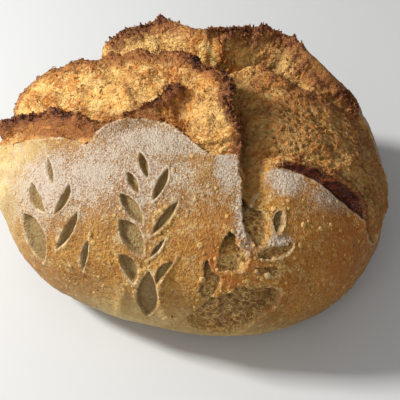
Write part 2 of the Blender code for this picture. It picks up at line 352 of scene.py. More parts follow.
# How the surface differs from place to place: (u, v, half width, half height, amount)
surfaceZones = {
    "flour": [
        (-40, 40, 110, 44, 1.0), (-80, 10, 62, 60, 0.95), (-44, 10, 100, 66, 0.8), (-108, 2, 50, 60, 1.0),
        (-132, 10, 34, 56, 0.6),
        (18, 14, 22, 44, 1.05), (0, -2, 36, 40, 0.5), (60, 4, 26, 22, 1.1), (86, -8, 36, 20, 0.8),
        (43, -34, 20, 9, 1.0), (25, -22, 12, 40, 1.0), (-44, -15, 20, 50, 0.8), (0, 40, 400, 400, 0.08),
    ],
    "pores": [
        (85, 45, 80, 75, 1.0), (125, 10, 50, 80, 1.0), (42, 85, 24, 50, 0.9), (20, -80, 60, 36, 1.0),
        (30, -38, 30, 30, 0.8),
    ],
    "streaks": [(2, 66, 26, 46, 1.0), (-10, 60, 20, 30, 0.7)],
    # Browner crumb, and painted shade: the three strongest spots darken the strip beneath the front ear
    "brownAndShade": [
        (62, 105, 30, 20, 0.8), (88, 78, 44, 18, 0.9), (135, 20, 30, 65, 0.5), (75, 40, 60, 34, 0.1),
        (20, 120, 34, 20, 0.3), (-10, 70, 18, 30, 0.3), (-90, 124, 80, 14, 0.8), (-110, 46, 70, 16, 1.5),
        (-60, 66, 44, 14, 1.5), (-34, 80, 24, 14, 1.2), (-20, 66, 14, 40, 0.4),
    ],
    # Paler crumb, and a painted highlight: the spot on the rear wall between the left lobe and the rear ear
    # lightens it as if lit
    "paleAndHighlight": [
        (-70, 95, 80, 36, 0.5), (2, 60, 26, 46, 1.0), (-60, 150, 84, 20, 1.0), (36, 110, 24, 26, 0.7),
        (104, 92, 24, 14, 0.9), (84, 116, 26, 18, 0.9), (60, 145, 50, 14, 0.8),
    ],
    "olive": [
        (36, 20, 16, 80, 1.0), (15, 150, 40, 10, 0.6), (75, 128, 30, 14, 0.9), (60, 60, 50, 44, 0.5),
        (20, -80, 60, 40, 1.0),
    ],
    "blisters": [
        (60, -40, 80, 60, 1.0), (90, -50, 80, 80, 1.0), (-5, -20, 60, 60, 0.8), (0, -60, 200, 70, 0.7),
        (-130, -20, 40, 80, 0.6), (0, 200, 200, 90, 0.6),
    ],
    "curly": [
        (70, 104, 34, 18, 1.0), (100, 84, 26, 18, 0.8), (-22, 60, 14, 12, 1.0), (70, 18, 30, 8, 0.9),
        (-110, 100, 50, 30, 0.3), (-40, 120, 70, 16, 0.5), (90, 50, 40, 40, 0.25),
    ],
    "flap": [
        (6, -50, 8, 16, 1.0), (14, -57, 14, 7, 1.0), (24, -40, 6, 16, 0.7), (28, -47, 8, 6, 0.9),
        (-48, -52, 5, 12, 0.6),
    ],
    "ruddy": [(96, -40, 70, 70, 1.0), (40, -60, 60, 30, 0.6), (10, -30, 40, 30, 0.5), (120, 0, 40, 60, 0.8)],
    # Paler skin low on the front, and a painted highlight: the spot on the left flank lightens it as if lit
    "paleLowAndLitFlank": [(-60, -100, 90, 44, 1.0), (10, -108, 90, 34, 1.0), (-142, 8, 34, 80, 1.0)],
}


def ridgeShares(name, spots):
    ridge = ridges[name]
    curve = curveThrough(ridge["crest"])
    distance, side, crest = nearestOn(curve, spots, max(ridge["front"], ridge["behind"]) + 2.0)
    run = 1.0 - easeStep(distance / np.where(side < 0, ridge["front"], ridge["behind"]))
    burn = 1.0 - easeStep(distance / np.where(side < 0, ridge["burnFront"], ridge["burnBehind"]))
    return distance, run, crest[:, 0], burn * crest[:, 1], side


def valleyDepth(valley, spots):
    distance, side, floor = nearestOn(curveThrough(valley["floor"]), spots, valleyReach)
    return floor[:, 0] * (1.0 - easeStep(distance / np.where(side < 0, valley["front"], valley["behind"])))


def ridgeHeight(spots):
    height = np.zeros(len(spots))
    for name in ridges:
        distance, run, crest, char, side = ridgeShares(name, spots)
        height = np.maximum(height, crest * run)
    for valley in valleys.values():
        height -= valleyDepth(valley, spots)
    return height


# The swelling beside a cut and the thin bright line along it, from the distance inside the cut
def rimAt(inside):
    return easeStep(1.0 - np.abs(inside + 1.1) / 1.7), easeStep(1.0 - np.abs(inside + 0.5) / 0.9)


# The dark, smooth inside of the right-hand ear, from its crest down
def glazeAt(spots, distance, side):
    band = easeStep((distance - 1.4) / 1.2) * (1.0 - easeStep((distance - 9.0) / 5.0))
    return np.where(side < 0, band, 0.0) * easeStep((spots[:, 0] - 48.0) / 14.0)


def ridgesAt(spots, ragged):
    height, burn, rag = (np.zeros(len(spots)) for _ in range(3))
    for name, ridge in ridges.items():
        amount = min(1.0, ridge["ragged"])
        distance, run, crest, char, side = ridgeShares(name, spots + amount * (ragged - spots))
        height = np.maximum(height, crest * run)
        burn = np.maximum(burn, char)
        rag = np.maximum(rag, ridge["ragged"] * char * (1.0 - easeStep(distance / 5.0)))
        if name == "sideEar":
            glaze = glazeAt(spots, distance, side)
    return height, burn, rag, glaze


# How a tear sinks, opens and gets a painted shadow beneath its upper edge, and the rim round it
def tearAt(hole, spots, shifted):
    inside = depthInside(hole["outline"], shifted)
    low, high = min(v for u, v in hole["outline"]), max(v for u, v in hole["outline"])
    upper, lower = hole["slopes"]
    slope = lower + (upper - lower) * easeStep((spots[:, 1] - low) / (0.6 * (high - low)))
    above = easeStep((spots[:, 1] - low) / (high - low) * 1.4 - 0.4)
    drop = hole["depth"] * (0.6 + 0.6 * above) * easeStep(inside / slope + 0.2)
    opened = easeStep(inside / (0.5 * slope) + 0.5)
    shade = hole["tearShade"] * above * easeStep(inside) * (1.0 - easeStep((inside - 1.5) / 4.5))
    width, line = rimAt(inside)
    return drop, opened, shade, hole["rim"] * width, hole["rim"] * line


# Noise that shifts the chart, so that crests and torn edges run unevenly: its sizes and how far it shifts
wobbles = {"wide": 5.0, "fine": 1.9, "wideShift": 1.6, "fineShift": 0.9}


# The rise over the dome, and everything that colours the crust, at each spot of the chart
def surfaceAt(spots, grain):
    wide, fine = wobbles["wide"], wobbles["fine"]
    wobble = np.stack([noiseAt(grain, wide, 3.0), noiseAt(grain, wide, 11.0)], axis=1)
    fineWobble = np.stack([noiseAt(grain, fine, 23.0), noiseAt(grain, fine, 31.0)], axis=1)
    ragged = spots + wobbles["wideShift"] * wobble + wobbles["fineShift"] * fineWobble
    height, burn, rag, glaze = ridgesAt(spots, ragged)
    for valley in valleys.values():
        height -= valleyDepth(valley, ragged)
    tornDepth = depthInside(tornTop, spots + 0.5 * fineWobble)
    torn = easeStep(tornDepth / loafShape["crustSlope"] + 0.5)
    height -= loafShape["crustStep"] * easeStep(tornDepth / (2 * loafShape["crustSlope"]))
    onLeaves = spots + 0.2 * fineWobble
    leaves = np.array([leafDepth(leaf, onLeaves) for leaf in leafCuts["leaves"]]).max(axis=0)
    cut = easeStep(leaves[0] / 0.6 + 0.5)
    height -= leafCuts["depth"] * easeStep(leaves[1] + 0.15)
    rimWidth, rim = rimAt(leaves[0])
    tear, tearShade = np.zeros(len(spots)), np.zeros(len(spots))
    tornSpots = spots + 1.1 * wobble + wobbles["fineShift"] * fineWobble
    for hole in tears:
        drop, opened, shade, holeWidth, holeRim = tearAt(hole, spots, tornSpots)
        height -= drop
        tear, tearShade = np.maximum(tear, opened), np.maximum(tearShade, shade)
        rimWidth, rim = np.maximum(rimWidth, holeWidth), np.maximum(rim, holeRim)
    fade = (0.75 + 0.6 * wobble[:, 0] - 0.4 * easeStep((-60 - spots[:, 1]) / 20)) * (1.0 - torn)
    lipWidth, lip = rimAt(tornDepth)
    front = spots[:, 1] < 66
    height += leafCuts["rimRise"] * np.maximum(rimWidth * fade, 0.5 * lipWidth * front)
    return {
        "height": height, "burn": burn, "rag": rag, "glaze": glaze * torn, "torn": torn, "cut": cut,
        "tear": tear, "tearShade": tearShade, "rim": np.maximum(rim * fade, lip * front * 0.8),
    }


def directionsOf(vertices):
    flat = np.array([v.co[:] for v in vertices])
    return flat / np.linalg.norm(flat, axis=1)[:, None]


def edgeMiddles(mesh):
    ends = np.array([(e.verts[0].index, e.verts[1].index) for e in mesh.edges])
    spots = np.array([v.co[:] for v in mesh.verts])
    middles = spots[ends[:, 0]] + spots[ends[:, 1]]
    return middles / np.linalg.norm(middles, axis=1)[:, None]


def splitEdges(mesh, wanted):
    edges = [edge for edge, yes in zip(mesh.edges, wanted) if yes]
    bmesh.ops.subdivide_edges(mesh, edges=edges, cuts=1, use_grid_fill=True)
    bmesh.ops.triangulate(mesh, faces=[f for f in mesh.faces if len(f.verts) > 3])
    for vertex in mesh.verts:
        vertex.co.normalize()
    mesh.verts.index_update()


def nearCrests(spots, reach):
    near = np.zeros(len(spots), bool)
    for ridge in ridges.values():
        if ridge["ragged"] > 0.3:
            near |= nearestOn(curveThrough(ridge["crest"]), spots, reach)[0] < reach
    return near


def nearCuts(spots, reach):
    near = np.abs(depthInside(tornTop, spots)) < reach
    for leaf in leafCuts["leaves"]:
        near |= np.abs(leafDepth(leaf, spots)[0]) < reach
    for tear in tears:
        near |= np.abs(depthInside(tear["outline"], spots)) < reach
    return near


def shapedPoints(directions, height):
    points = directions * (domeRadius(directions) + height)[:, None]
    points[:, 2] += loafShape["centreHeight"]
    points[:, :2] += loafShape["domeSpot"]
    return points


# True for the edges that the ridges have pulled out longer than the given length
def longEdges(ball, longest):
    directions = directionsOf(ball.verts)
    height = ridgeHeight(chartOf(directions))
    points = shapedPoints(directions, height)
    ends = np.array([(e.verts[0].index, e.verts[1].index) for e in ball.edges])
    return np.linalg.norm(points[ends[:, 0]] - points[ends[:, 1]], axis=1) > longest


# How finely the ball is split: reaches round edges in mm, and the longest edge left where dough is pulled
fineness = {
    "startLevel": 6,
    "coarseBelow": -0.45,
    "tornReach": 3.0,
    "cutReach": 4.0,
    "crestReach": 1.8,
    "rimReach": 0.9,
    "pulledReach": 2.0,
    "longest": 1.8,
}


# A ball whose triangles are about 4 mm below, 2 mm on the crust, 1 mm on torn dough, 0.5 mm at edges
def refinedBall():
    f = fineness
    ball = bmesh.new()
    bmesh.ops.create_icosphere(ball, subdivisions=f["startLevel"], radius=1.0)
    ball.verts.index_update()
    splitEdges(ball, edgeMiddles(ball)[:, 2] > f["coarseBelow"])
    spots = chartOf(edgeMiddles(ball))
    torn = depthInside(tornTop, spots) > -f["tornReach"]
    inTear = np.max([depthInside(tear["outline"], spots) for tear in tears], axis=0) > 0
    splitEdges(ball, torn | nearCuts(spots, f["cutReach"]) | inTear)
    spots = chartOf(edgeMiddles(ball))
    pulled = longEdges(ball, f["longest"]) & (depthInside(tornTop, spots) > -2 * f["pulledReach"])
    splitEdges(ball, nearCrests(spots, f["crestReach"]) | nearCuts(spots, f["rimReach"]) | pulled)
    spots = chartOf(edgeMiddles(ball))
    splitEdges(ball, longEdges(ball, f["longest"]) & (depthInside(tornTop, spots) > -f["pulledReach"]))
    print("ball split:", len(ball.faces), "triangles")
    return ball


def normalsOf(ball, points):
    for vertex, point in zip(ball.verts, points):
        vertex.co = point
    ball.normal_update()
    return np.array([v.normal[:] for v in ball.verts])


# Rise and size of each kind of relief, in millimetres
relief = {
    "lump": (3.0, 12.0), "knob": (2.2, 8.5), "strand": (1.5, 2.6),
    "streak": (1.6, 2.6), "streakSwell": (0.9, 9.0),
    "crumbWave": (1.3, 13.0), "crumbWeb": (1.4, 3.2), "pit": (1.7, 3.0), "widePit": (1.7, 7.5),
    "blister": (0.6, 4.6), "smallBlister": (0.3, 2.3), "skinWave": (0.8, 15.0), "skinGrain": (0.35, 2.2),
    "crestWave": (2.6, 11.0), "spike": (3.8, 3.4), "spikeWave": (1.2, 4.0),
}


# Where torn dough has browned, by noise and along the burnt crests
def toastedAt(form, look):
    toasted = np.maximum(easeStep(0.5 + 1.5 * noiseAt(form, 13.0, 91.0)), 0.45 * look["pores"])
    return np.maximum(toasted, easeStep(1.6 * look["burn"])) * (1.0 - 0.8 * look["tear"])


# Lumps, knobs and strands where dough tore, streaks where it was pulled, and open pores at the right
def tornRelief(form, spots, look, rough, pores):
    r = relief
    lumps = rough * (1.0 - 0.8 * pores) * (1.0 - 0.6 * look["streaks"]) * (1.0 - 0.8 * look["glaze"])
    lumps *= 0.45 + 0.75 * look["toasted"]
    lump = noiseAt(form, r["lump"][1], 2.0)
    knob = crumpleAt(form, r["knob"][1], 5.0, (1.5, 1.0, 0.8)) - 0.5
    strands = crumpleAt(form, r["strand"][1], 9.0, (1.8, 1.0, 0.9)) - 0.5
    rise = lumps * (r["lump"][0] * lump + r["knob"][0] * knob + r["strand"][0] * strands)
    along = np.column_stack([spots[:, 0] + 0.25 * spots[:, 1], 0.16 * spots[:, 1], 0 * spots[:, 0]])
    streak = crumpleAt(along, r["streak"][1], 61.0) - 0.5
    swell = noiseAt(form, r["streakSwell"][1], 63.0)
    rise += rough * look["streaks"] * (r["streak"][0] * streak + r["streakSwell"][0] * swell)
    pit = 1.0 - easeStep(cellsAt(form, r["pit"][1], 4.0) / 0.45)
    pit = pores * np.maximum(pit, 1.0 - easeStep(cellsAt(form, r["widePit"][1], 14.0) / 0.26))
    web = crumpleAt(form, r["crumbWeb"][1], 8.0) - 0.5
    wave = noiseAt(form, r["crumbWave"][1], 6.0)
    rise += pores * (r["crumbWave"][0] * wave + r["crumbWeb"][0] * web) - r["pit"][0] * pit
    peaks = rough * (0.5 * lump + 0.9 * knob + 0.9 * strands + 0.6 * pores * web)
    return rise, pit, peaks


def skinRelief(form, look, skin):
    r = relief
    size = np.maximum(0.24 + 0.18 * noiseAt(form, 9.0, 35.0), 0.05)
    blister = skin * look["blisters"] * (1.0 - easeStep(cellsAt(form, r["blister"][1], 33.0) / size))
    small = 1.0 - easeStep(cellsAt(form, r["smallBlister"][1], 41.0) / 0.33)
    small = skin * (0.3 + 0.7 * look["blisters"]) * small
    rise = r["blister"][0] * blister + r["smallBlister"][0] * small
    wave = r["skinWave"][0] * noiseAt(form, r["skinWave"][1], 51.0)
    rise += skin * (wave + r["skinGrain"][0] * noiseAt(form, r["skinGrain"][1], 53.0))
    return rise, np.maximum(blister, 0.6 * small)


def crestSpikes(form, rag):
    r = relief
    spikes = np.maximum(0.0, crumpleAt(form, r["spike"][1], 19.0) - 0.3)
    wave = r["spikeWave"][0] * noiseAt(form, r["spikeWave"][1], 21.0)
    return rag * (r["spike"][0] * spikes + wave - 0.3)


def displaceLoaf(ball):
    directions = directionsOf(ball.verts)
    spots = chartOf(directions)
    look = surfaceAt(spots, directions * domeRadius(directions)[:, None])
    look.update({name: sumOfSpots(spots, entries) for name, entries in surfaceZones.items()})
    form = shapedPoints(directions, look["height"])
    normals = normalsOf(ball, form)
    skin = 1.0 - np.maximum(look["torn"], np.maximum(look["cut"], look["tear"]))
    rough = np.clip(look["torn"] + look["tear"], 0.0, 1.0)
    pores = look["pores"] * rough * (1.0 - look["glaze"])
    look["toasted"] = toastedAt(form, look)
    rise, look["pit"], peaks = tornRelief(form, spots, look, rough, pores)
    skinRise, look["blister"] = skinRelief(form, look, skin)
    crestRise, crestSize = relief["crestWave"]
    rise += skinRise + crestRise * look["rag"] * noiseAt(form, crestSize, 81.0)
    leaning = 0.6 * directions + 0.4 * normals
    points = form + normals * rise[:, None] + leaning * crestSpikes(form, look["rag"])[:, None]
    points = form + (points - form) * easeStep(form[:, 2] / 3.0)[:, None]  # the base stays flat
    points[:, 2] = np.maximum(points[:, 2], 0.0)
    look["porous"] = pores * (1.0 - look["tear"])
    look["flour"] = look["flour"] * skin
    look["peak"] = np.clip(peaks, 0.0, 1.0)
    # painted shade: where the crumb's relief dips, the material darkens it
    look["hollowShade"] = np.clip(-peaks, 0.0, 1.0)
    return points, look, normals


# What the crust's material reads at each vertex
crustAttributes = [
    "burn", "glaze", "torn", "cut", "tear", "rim", "pit", "blister", "flour", "brownAndShade", "paleAndHighlight", "olive",
    "paleLowAndLitFlank", "hollowShade", "peak", "flap", "toasted", "tearShade", "porous", "ruddy",
]


def makePiece(name, mesh, look):
    for attribute in crustAttributes:
        layer = mesh.attributes.new(attribute, "FLOAT", "POINT")
        layer.data.foreach_set("value", look[attribute].astype(np.float32))
    mesh.shade_smooth()
    piece = bpy.data.objects.new(name, mesh)
    bpy.context.scene.collection.objects.link(piece)
    return piece


def makeLoaf():
    ball = refinedBall()
    points, look, normals = displaceLoaf(ball)
    for vertex, point in zip(ball.verts, points * mm):
        vertex.co = point
    bmesh.ops.recalc_face_normals(ball, faces=ball.faces[:])
    mesh = bpy.data.meshes.new("sourdoughLoaf")
    ball.to_mesh(mesh)
    ball.free()
    return makePiece("sourdoughLoaf", mesh, look), points, normals, look


# Small closed things that stand on the crust; lengths and widths are half lengths, in millimetres
bits = {
    "flakes": {
        "count": 620, "length": (0.4, 1.25), "width": (0.35, 0.8), "thickness": (0.2, 0.4),
        "lean": 0.9, "unevenness": 0.75, "standOut": 0.45, "cluster": 7.0, "lowest": 20.0,
    },
    "curls": {"count": 1100, "length": (1.0, 2.4), "thickness": (0.2, 0.36), "bend": (1.6, 4.4)},
    "blisters": {"count": 1000, "radius": (0.4, 1.6), "rise": 0.34, "cluster": 16.0, "lowest": 8.0},
}


# Picks vertices of the loaf, each as likely as its weight, and gives each a frame: outwards and two across
def pickPlaces(chance, count, weight, points, normals):
    parents = chance.choice(len(points), size=count, replace=False, p=weight / weight.sum())
    outwards = normals[parents]
    across = np.cross(outwards, chance.normal(size=(count, 3)))
    across /= np.linalg.norm(across, axis=1)[:, None]
    return parents, points[parents], outwards, across, np.cross(outwards, across)


def joinCopies(name, template, shapes, parents, look, changes):
    joined = bmesh.new()
    for _ in parents:
        joined.from_mesh(template)
    mesh = bpy.data.meshes.new(name)
    joined.to_mesh(mesh)
    joined.free()
    mesh.vertices.foreach_set("co", (shapes * mm).ravel())
    corners = shapes.shape[1]
    values = {key: np.repeat(look[key][parents], corners) for key in crustAttributes}
    for key, value in changes.items():
        values[key] = np.repeat(np.broadcast_to(value, len(parents)), corners)
    return makePiece(name, mesh, values)


def ballTemplate(level):
    ball = bmesh.new()
    bmesh.ops.create_icosphere(ball, subdivisions=level, radius=1.0)
    mesh = bpy.data.meshes.new("ballTemplate")
    ball.to_mesh(mesh)
    ball.free()
    return mesh, np.array([v.co[:] for v in mesh.vertices])


def makeFlakes(chance, points, normals, look):
    b = bits["flakes"]
    template, corners = ballTemplate(2)
    cluster = np.maximum(0.15, noiseAt(points, b["cluster"], 71.0))
    weight = np.maximum(look["rag"] - 0.35, 0.0) * cluster * (points[:, 2] > b["lowest"])
    parents, places, outwards, across, third = pickPlaces(chance, b["count"], weight, points, normals)
    length = chance.uniform(*b["length"], size=(b["count"], 1))
    width = chance.uniform(*b["width"], size=(b["count"], 1))
    thickness = chance.uniform(*b["thickness"], size=(b["count"], 1))
    lean = chance.uniform(-b["lean"], b["lean"], size=(b["count"], 1))
    longWay = outwards + lean * across
    longWay /= np.linalg.norm(longWay, axis=1)[:, None]
    wideWay = np.cross(third, longWay)
    wobble = [noise.noise((c * 1.3 + 5.0 * n).tolist()) for n in range(len(parents)) for c in corners]
    swell = (1.0 + b["unevenness"] * np.array(wobble)).reshape(len(parents), len(corners), 1)
    shapes = corners[None] * swell
    shapes = (
        shapes[:, :, :1] * (longWay * length)[:, None] + shapes[:, :, 1:2] * (wideWay * width)[:, None]
        + shapes[:, :, 2:] * (third * thickness)[:, None]
    )
    shapes += (places + longWay * length * b["standOut"])[:, None]
    burn = look["burn"][parents] * chance.uniform(0.5, 1.1, len(parents))
    changes = {"flour": 0.0, "glaze": 0.0, "pit": 0.0, "burn": burn}
    return joinCopies("crestFlakes", template, shapes, parents, look, changes)


def tubeTemplate(sides, rings):
    tube = bmesh.new()
    bmesh.ops.create_cone(tube, cap_ends=True, segments=sides, radius1=1.0, radius2=1.0, depth=2.0)
    long = [edge for edge in tube.edges if abs(edge.verts[0].co.z - edge.verts[1].co.z) > 1.0]
    bmesh.ops.subdivide_edges(tube, edges=long, cuts=rings, use_grid_fill=True)
    bmesh.ops.triangulate(tube, faces=tube.faces[:])
    mesh = bpy.data.meshes.new("tubeTemplate")
    tube.to_mesh(mesh)
    tube.free()
    return mesh, np.array([v.co[:] for v in mesh.vertices])


# Thin strands of torn dough that arch out of the crumb
def makeCurls(chance, points, normals, look):
    b = bits["curls"]
    template, corners = tubeTemplate(5, 6)
    weight = look["torn"] * (1.0 - look["glaze"]) * (0.12 + look["curly"]) * (0.2 + look["peak"])
    parents, places, outwards, across, third = pickPlaces(chance, b["count"], weight, points, normals)
    length = chance.uniform(*b["length"], size=(b["count"], 1))
    thickness = chance.uniform(*b["thickness"], size=(b["count"], 1))
    bend = chance.uniform(*b["bend"], size=(b["count"], 1))
    angle = bend * corners[None, :, 2] / 2.0
    radius = 2.0 * length / bend
    taper = thickness * (1.0 - 0.45 * corners[None, :, 2] ** 2)
    sideways = (radius + taper * corners[None, :, 0]) * np.sin(angle)
    upwards = (radius + taper * corners[None, :, 0]) * np.cos(angle) - radius * 0.75
    shapes = sideways[..., None] * across[:, None] + upwards[..., None] * outwards[:, None]
    shapes += places[:, None] - (taper * corners[None, :, 1])[..., None] * third[:, None]
    changes = {"flour": 0.0, "glaze": 0.0, "pit": 0.0, "hollowShade": 0.0, "peak": 0.45}
    return joinCopies("crumbCurls", template, shapes, parents, look, changes)


def makeBlisters(chance, points, normals, look):
    b = bits["blisters"]
    template, corners = ballTemplate(2)
    skin = (1.0 - look["torn"]) * (1.0 - look["cut"]) * (1.0 - look["tear"]) * (1.0 - look["rim"])
    cluster = np.maximum(0.2, 0.5 + noiseAt(points, b["cluster"], 73.0))
    weight = skin**4 * look["blisters"] * cluster * (points[:, 2] > b["lowest"])
    parents, places, outwards, across, third = pickPlaces(chance, b["count"], weight, points, normals)
    small, large = b["radius"]
    radius = small + (large - small) * chance.uniform(size=(b["count"], 1)) ** 2.5
    shapes = (
        corners[None, :, :1] * (across * radius)[:, None] + corners[None, :, 1:2] * (third * radius)[:, None]
    )
    shapes = shapes * chance.uniform(0.8, 1.2, size=(b["count"], 1, 1))
    shapes += corners[None, :, 2:] * (outwards * radius * b["rise"])[:, None] + places[:, None]
    changes = {"blister": chance.uniform(0.2, 1.0, len(parents))}
    return joinCopies("crustBlisters", template, shapes, parents, look, changes)


# Colours are written as a paint chart gives them, from 0 to 255
def paint(red, green, blue):
    shares = [c / 255 for c in (red, green, blue)]
    return tuple(s / 12.92 if s <= 0.04045 else ((s + 0.055) / 1.055) ** 2.4 for s in shares) + (1.0,)


crustPaint = {
    "skinGold": paint(202, 146, 60),
    "skinBrown": paint(150, 94, 34),
    "skinPale": paint(232, 204, 136),
    "skinDark": paint(112, 72, 36),
    "skinOrange": paint(196, 112, 38),
    "skinRuddy": paint(194, 104, 16),
    "mahogany": paint(70, 24, 5),
    "mahoganyLight": paint(138, 66, 18),
    "blisterPale": paint(232, 192, 118),
    # bran specks, and also the colour of the painted shadow beneath the tears' upper edges
    "branAndTearShade": paint(84, 54, 26),
    "crumbGold": paint(222, 156, 70),
    "crumbPale": paint(244, 202, 124),
    "crumbBrown": paint(146, 90, 42),
    "crumbOlive": paint(162, 128, 74),
    # dark brown for random grain, and for the painted shade in the crumb's hollows
    "brownGrainAndShade": paint(136, 92, 44),
    # painted shade for the pits
    "pitShade": paint(84, 56, 28),
    "porousBrown": paint(150, 102, 48),
    "strandGold": paint(222, 170, 96),
    "toast": paint(188, 110, 42),
    "cutFloor": paint(160, 138, 90),
    "rimPale": paint(236, 212, 168),
    "burnBrown": paint(156, 96, 48),
    "burnRed": paint(126, 70, 38),
    "burnDark": paint(46, 26, 18),
    "skinDusty": paint(148, 112, 76),
    "flourWhite": paint(208, 192, 172),
    "roughness": {"skin": 0.42, "crumb": 0.6, "flour": 0.95, "burnt": 0.62, "glaze": 0.4},
    "gloss": 0.28,
    "bumpDistance": 1.7 * mm,
}


class NodeDesk:  # lays out a material's nodes with short calls
    def __init__(self, name):
        self.material = bpy.data.materials.new(name)
        self.material.use_nodes = True
        self.tree = self.material.node_tree
        self.shader = self.tree.nodes["Principled BSDF"]
        self.place = self.tree.nodes.new("ShaderNodeTexCoord").outputs["Object"]

    def put(self, socket, value):
        if isinstance(value, bpy.types.NodeSocket):
            self.tree.links.new(value, socket)
        else:
            socket.default_value = value

    def attribute(self, name):
        node = self.tree.nodes.new("ShaderNodeAttribute")
        node.attribute_name = name
        return node.outputs["Fac"]

    def maths(self, operation, first, second=0.0, clamp=False):
        node = self.tree.nodes.new("ShaderNodeMath")
        node.operation = operation
        node.use_clamp = clamp
        self.put(node.inputs[0], first)
        self.put(node.inputs[1], second)
        return node.outputs[0]

    def times(self, first, second):
        return self.maths("MULTIPLY", first, second)

    def noise(self, size, detail=3.0, roughness=0.5, stretch=(1, 1, 1)):
        turn = self.tree.nodes.new("ShaderNodeMapping")
        turn.inputs["Scale"].default_value = [1 / (size * mm * s) for s in stretch]
        self.put(turn.inputs["Vector"], self.place)
        node = self.tree.nodes.new("ShaderNodeTexNoise")
        node.inputs["Scale"].default_value = 1.0
        node.inputs["Detail"].default_value = detail
        node.inputs["Roughness"].default_value = roughness
        self.put(node.inputs["Vector"], turn.outputs[0])
        return node.outputs["Fac"]

    def cells(self, size):
        node = self.tree.nodes.new("ShaderNodeTexVoronoi")
        node.inputs["Scale"].default_value = 1 / (size * mm)
        self.put(node.inputs["Vector"], self.place)
        chance = self.tree.nodes.new("ShaderNodeSeparateColor")
        self.put(chance.inputs[0], node.outputs["Color"])
        return node.outputs["Distance"], chance.outputs[0]

    # Round spots of different sizes, on the given share of the cells
    def spots(self, size, widest, share):
        distance, chance = self.cells(size)
        radius = self.maths("MULTIPLY", self.between(chance, 1.0 - share, 1.0), widest)
        edge = self.maths("SUBTRACT", radius, distance)
        return self.between(edge, 0.0, 0.4 * widest)

    # Thin lines where a noise crosses its middle
    def lines(self, noise, width):
        away = self.maths("ABSOLUTE", self.maths("SUBTRACT", noise, 0.5))
        return self.between(away, width, 0.0)

    def between(self, value, low, high):
        node = self.tree.nodes.new("ShaderNodeMapRange")
        node.interpolation_type = "SMOOTHSTEP"
        self.put(node.inputs["Value"], value)
        node.inputs["From Min"].default_value = low
        node.inputs["From Max"].default_value = high
        return node.outputs["Result"]

    def mix(self, share, first, second):
        node = self.tree.nodes.new("ShaderNodeMix")
        node.data_type = "RGBA"
        self.put(node.inputs["Factor"], share)
        self.put(node.inputs[6], first)
        self.put(node.inputs[7], second)
        return node.outputs[2]

    def blend(self, share, first, second):
        node = self.tree.nodes.new("ShaderNodeMix")
        self.put(node.inputs["Factor"], share)
        self.put(node.inputs[2], first)
        self.put(node.inputs[3], second)
        return node.outputs[0]


# The noises that all the crust's colours share
def grainsOf(desk):
    return {
        "broad": desk.noise(24.0, 3.0, 0.55),
        "middle": desk.noise(6.0, 4.0, 0.6),
        "fine": desk.noise(1.8, 3.0, 0.6),
        "grain": desk.noise(0.9, 2.0, 0.7),
        "fibre": desk.lines(desk.noise(3.4, 2.0, 0.5, (1.5, 1.0, 0.8)), 0.05),
    }


def skinColour(desk, g):
    c, times = crustPaint, desk.times
    skin = desk.mix(times(desk.between(g["broad"], 0.38, 0.62), 0.5), c["skinGold"], c["skinBrown"])
    skin = desk.mix(times(desk.between(g["middle"], 0.48, 0.66), 0.5), skin, c["skinPale"])
    skin = desk.mix(times(desk.between(g["fine"], 0.48, 0.62), 0.8), skin, c["skinBrown"])
    skin = desk.mix(times(desk.between(g["grain"], 0.48, 0.34), 0.7), skin, c["skinDark"])
    skin = desk.mix(times(desk.attribute("flour"), 0.8), skin, c["skinDusty"])
    mottled = desk.blend(desk.between(desk.noise(9.0, 4.0, 0.6), 0.4, 0.62), 0.5, 0.9)
    # paler skin low on the front, and a painted highlight on the left flank
    skin = desk.mix(times(desk.attribute("paleLowAndLitFlank"), mottled), skin, c["skinPale"])
    skin = desk.mix(times(desk.attribute("ruddy"), 0.55), skin, c["skinRuddy"])
    skin = desk.mix(times(desk.attribute("flap"), 0.8), skin, c["skinOrange"])
    skin = desk.mix(times(desk.attribute("blister"), 0.85), skin, c["blisterPale"])
    return desk.mix(times(desk.spots(4.4, 0.2, 0.5), 0.75), skin, c["branAndTearShade"])


def crumbColour(desk, g, toasted):
    c, times = crustPaint, desk.times
    paleAndHighlight, brownAndShade, porous = (desk.attribute(name) for name in ("paleAndHighlight", "brownAndShade", "porous"))
    fading = times(desk.blend(paleAndHighlight, 1.0, 0.35), desk.blend(brownAndShade, 1.0, 0.6))
    crumb = desk.mix(desk.between(g["middle"], 0.38, 0.58), c["crumbGold"], c["crumbPale"])
    crumb = desk.mix(times(toasted, desk.between(g["fine"], 0.42, 0.6)), crumb, c["toast"])
    # paler crumb, partly a painted highlight on the rear wall
    crumb = desk.mix(times(paleAndHighlight, 0.75), crumb, c["crumbPale"])
    crumb = desk.mix(desk.attribute("olive"), crumb, c["crumbOlive"])
    # browner crumb, partly painted shade on the strip beneath the front ear
    crumb = desk.mix(times(brownAndShade, desk.between(g["middle"], 0.25, 0.5)), crumb, c["crumbBrown"])
    # painted shade: darker where the crumb's relief dips
    crumb = desk.mix(times(desk.attribute("hollowShade"), 0.65), crumb, c["brownGrainAndShade"])
    darkGrain = times(desk.between(g["grain"], 0.5, 0.34), desk.blend(toasted, 0.1, 0.5))
    crumb = desk.mix(darkGrain, crumb, c["brownGrainAndShade"])
    peak = desk.between(desk.attribute("peak"), 0.2, 0.5)
    crumb = desk.mix(times(peak, times(fading, 0.7)), crumb, c["toast"])
    crumb = desk.mix(times(porous, 0.3), crumb, c["porousBrown"])
    strand = desk.mix(porous, c["toast"], c["strandGold"])
    strandShare = times(fading, desk.blend(toasted, 0.35, 0.8))
    crumb = desk.mix(times(g["fibre"], strandShare), crumb, strand)
    # painted shade: pits darkened
    return desk.mix(times(desk.attribute("pit"), 0.85), crumb, c["pitShade"])
